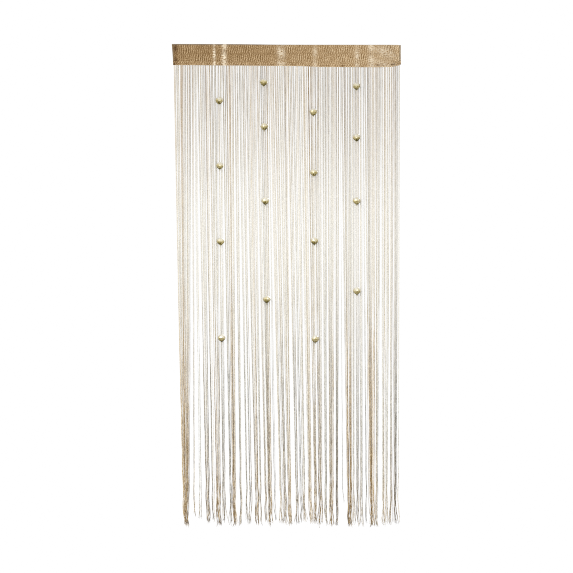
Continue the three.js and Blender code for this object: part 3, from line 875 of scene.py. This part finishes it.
def seam_stitches():
    """Brown bar stitches of uneven length in the sewn edge: flat eggs that lie across it, their width
    and depth an ellipse and their outline a half sine from below to above."""
    count = 76
    rings = 7
    sides = 12
    number = np.arange(count)
    x = -465 + STITCH_PITCH * number + 4 * (scatter(number, 61) - 0.5)
    bottom = band_line(x, 2)
    depth = np.full(count, -CLOTH_WALL - 0.15)
    middles = across_band(x, depth, stitch_row(x), bottom + SEAM_DROP, bottom, EDGE_FOLD_SHARE, 0)
    way = np.linspace(0, 1, rings)
    half_length = 1.6 + 2.0 * scatter(number, 62) ** 2 + 0.9 * smoothstep(x, 340, 400)
    half_length = half_length[:, None, None]
    angle = TURN * np.arange(sides)[None, None, :] / sides
    ellipse = 1 / np.sqrt((np.cos(angle) / half_length) ** 2 + (np.sin(angle) / 0.55) ** 2)
    radius = ellipse * (0.12 + 0.88 * np.sin(np.pi * way) ** 0.6)[None, :, None]
    rise = np.stack([np.zeros(rings), np.zeros(rings), 1.3 * (0.5 - way)], axis=-1)
    paths = middles[:, None, :] + rise[None]
    points, walls, caps, corner_uv = tubes(paths, radius, sides, np.zeros(paths.shape[:2]))
    material = plain_finish("stitch_thread", (0.15, 0.085, 0.03), 0.7)
    piece = make_piece("seam_stitches", points, walls.tolist() + caps.tolist(), material, True, None,
                       corner_uv)


def stitch_row(x):
    """How far down the sewn edge its row of stitches runs, 0 to 1: higher near the right end."""
    return 0.72 - 0.24 * smoothstep(x, 330, 400)


def seam_pattern(x, share, ridge):
    """Relief of the sewn edge, 0 to 1: slanting stitch loops in its upper half, and the bound roots
    of the strings in its lower half."""
    wander = waves(x, [(1.7, 13, 0), (1.1, 5.1, 2)])
    loops = 0.5 + 0.5 * np.sin(TURN * (x / 9.1 + 0.9 * share) + wander)
    bars = 0.5 + 0.5 * np.cos(TURN * share * 2.2 + 0.9 * np.sin(x / 9))
    upper = loops * (0.45 + 0.55 * bars)
    lower = np.clip(ridge, 0, 1.2)
    return upper + (lower - upper) * smoothstep(share, 0.62, 0.85)


# Beads


def faceted_bead(name, middle, number):
    """Cut bead: rings of corners on a body of revolution, each ring turned by half a facet from the
    one above, joined by triangles, with a bore for the string down its middle."""
    step = np.arange(BEAD_FACETS)
    after = (step + 1) % BEAD_FACETS
    lowest, highest = BEAD_OUTLINE[0][1], BEAD_OUTLINE[-1][1]
    rings = BEAD_OUTLINE + [(BEAD_BORE_RADIUS, highest), (BEAD_BORE_RADIUS, lowest)]
    last_outer = len(BEAD_OUTLINE) - 1
    points = []
    for ring, (radius, height) in enumerate(rings):
        half_step = 0.5 * (ring % 2) if ring <= last_outer else 0
        angle = TURN * (scatter(number, 41) + step + half_step) / BEAD_FACETS
        level = np.full(BEAD_FACETS, height)
        points.append(np.stack([radius * np.cos(angle), radius * np.sin(angle), level], axis=-1))
    faces = []
    for ring in range(len(rings)):
        low, high = ring * BEAD_FACETS, (ring + 1) % len(rings) * BEAD_FACETS
        if ring >= last_outer:
            corners = [(low + step, low + after, high + after, high + step)]
        elif ring % 2:
            corners = [(low + step, high + after, high + step), (low + step, low + after, high + after)]
        else:
            corners = [(low + step, low + after, high + step), (low + after, high + after, high + step)]
        for corner in corners:
            faces += np.stack(corner, axis=-1).tolist()
    points = np.concatenate(points)
    # Rise, 0 at the point and 1 at the top, carries the bead's painted light and shade.
    rise = (points[:, 2] - lowest) / (highest - lowest)
    coat = bpy.data.materials["bead_coat"]
    piece = make_piece(name, points + middle, faces, coat, False, {"rise": rise})
    face_number = np.arange(len(faces))
    # Painted reflections: each facet lighter or darker at random, as light inside a cut bead makes it.
    glint = 0.42 * (scatter(face_number, 42 + number) - 0.5)
    of_faces = piece.data.attributes.new("glint", "FLOAT", "FACE")
    of_faces.data.foreach_set("value", glint.astype(np.float32))
    bevel = piece.modifiers.new("worn_edges", "BEVEL")
    bevel.width = 0.45 * MM
    bevel.segments = 2
    bevel.limit_method = "ANGLE"
    bevel.angle_limit = math.radians(8)
    return piece


def beads_and_knots():
    """A faceted bead at each bead of the frame, and the small knot under it that holds it up."""
    bead_finish()
    knot_middles = []
    for column in range(1, len(BEADED_STRINGS) + 1):
        for step in range(1, BEADS_ON_A_STRING + 1):
            node = f"bead_{column}_{step}"
            low, high = (np.array(corner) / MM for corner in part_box(node))
            middle = (low + high) / 2
            middle[2] = low[2] - BEAD_OUTLINE[0][1]
            piece = faceted_bead(f"cut_bead_{column}_{step}", middle, column * 7 + step)
            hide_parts(node)
            knot_middles.append(middle - (0, 0, KNOT_DROP))
    knots(np.array(knot_middles))


def knots(middles):
    """Overhand knots: for each, a small egg round the string with three slanting ridges, its radius a
    half sine from end to end times a wave that turns with the height."""
    rings = 14
    sides = 18
    end_radius = 0.75
    way = np.linspace(0, 1, rings)
    angle = TURN * np.arange(sides) / sides
    ridges = 1 + 0.16 * np.cos(3 * angle[None, :] + TURN * 1.4 * way[:, None])
    bulge = end_radius + (KNOT_RADIUS - end_radius) * np.sin(np.pi * way) ** 0.7
    radius = bulge[:, None] * ridges
    drop = np.stack([np.zeros(rings), np.zeros(rings), KNOT_HEIGHT * (0.5 - way)], axis=-1)
    paths = middles[:, None, :] + drop[None]
    points, walls, caps, corner_uv = tubes(paths, radius[None], sides, np.zeros(paths.shape[:2]))
    material = plain_finish("knot_yarn", (0.40, 0.365, 0.27), 0.75)
    piece = make_piece("bead_knots", points, walls.tolist() + caps.tolist(), material, True, None,
                       corner_uv)


# Camera, light and floor


def set_camera():
    """Straight on, at the middle of the photograph's frame, far enough for its flat look."""
    camera = bpy.data.objects.new("camera", bpy.data.cameras.new("camera"))
    camera.location = CAMERA_PLACE
    camera.rotation_euler = (math.radians(90), 0, 0)
    camera.data.sensor_width = SENSOR_WIDTH
    camera.data.lens = CAMERA_LENS
    bpy.context.scene.collection.objects.link(camera)
    bpy.context.scene.camera = camera


def area_light(name, place, target, size, power):
    """Soft rectangular light that the camera doesn't see, turned towards its target."""
    light = bpy.data.lights.new(name, "AREA")
    light.shape = "RECTANGLE"
    light.size, light.size_y = size
    light.energy = power
    lamp = bpy.data.objects.new(name, light)
    lamp.location = place
    lamp.rotation_euler = (Vector(target) - Vector(place)).to_track_quat("-Z", "Y").to_euler()
    lamp.visible_camera = False
    bpy.context.scene.collection.objects.link(lamp)


def set_world():
    """Pure white behind the object, and for the light itself a sky that is bright above and dim and
    warm below."""
    world = bpy.data.worlds.new("studio")
    world.use_nodes = True
    nodes, links = world.node_tree.nodes, world.node_tree.links
    nodes.clear()
    direction = nodes.new("ShaderNodeTexCoord")
    axes = nodes.new("ShaderNodeSeparateXYZ")
    links.new(direction.outputs["Generated"], axes.inputs[0])
    height = nodes.new("ShaderNodeMapRange")
    height.inputs["From Min"].default_value = -1
    height.inputs["From Max"].default_value = 1
    links.new(axes.outputs["Z"], height.inputs["Value"])
    sky = nodes.new("ShaderNodeValToRGB")
    stops = [(0.0, (0.05, 0.045, 0.03)), (0.35, (0.30, 0.29, 0.26)), (0.5, (0.72, 0.72, 0.71)),
             (0.75, (1.0, 1.0, 1.0)), (1.0, (1.0, 1.0, 1.0))]
    elements = sky.color_ramp.elements
    while len(elements) < len(stops):
        elements.new(0.5)
    for element, (position, colour) in zip(elements, stops):
        element.position = position
        element.color = (*colour, 1)
    links.new(height.outputs["Result"], sky.inputs["Fac"])
    soft = nodes.new("ShaderNodeBackground")
    links.new(sky.outputs["Color"], soft.inputs["Color"])
    white = nodes.new("ShaderNodeBackground")
    rays = nodes.new("ShaderNodeLightPath")
    mix = nodes.new("ShaderNodeMixShader")
    links.new(rays.outputs["Is Camera Ray"], mix.inputs[0])
    links.new(soft.outputs[0], mix.inputs[1])
    links.new(white.outputs[0], mix.inputs[2])
    white.inputs["Color"].default_value = (1, 1, 1, 1)
    output = nodes.new("ShaderNodeOutputWorld")
    links.new(mix.outputs[0], output.inputs["Surface"])
    bpy.context.scene.world = world


def set_floor():
    """Plain pale floor under the hanging curtain, below the camera's view."""
    near, far, side, level = -3000, 850, 3000, -2350
    corners = [(-side, near, level), (side, near, level), (side, far, level), (-side, far, level)]
    mesh = bpy.data.meshes.new("floor")
    mesh.from_pydata((np.array(corners) * MM).tolist(), [], [(0, 1, 2, 3)])
    finish = Finish("pale_floor")
    finish.surface((0.8, 0.79, 0.77, 1), 0.7)
    mesh.materials.append(finish.material)
    floor = bpy.data.objects.new("floor", mesh)
    floor.visible_glossy = False
    bpy.context.scene.collection.objects.link(floor)


def set_stage():
    """Camera, world, floor and lights, with plain colours and a narrow pixel filter."""
    set_camera()
    set_world()
    set_floor()
    area_light("key", (-2.2, -4.0, 0.9), (0, 0, -0.8), (2.0, 2.0), 60)
    area_light("middle_fill", (0, -0.95, -0.68), (0, 0, -0.68), (1.1, 0.5), 4.0)
    area_light("back_fill", (1.5, 3.6, 0.2), (0, 0, -0.9), (1.8, 1.8), 30)
    scene = bpy.context.scene
    scene.view_settings.view_transform = "Standard"
    scene.view_settings.look = "None"
    scene.cycles.use_denoising = False
    scene.cycles.filter_width = 1.0


set_stage()
heading_band()
seam_strip(string_fringe())
seam_stitches()
beads_and_knots()
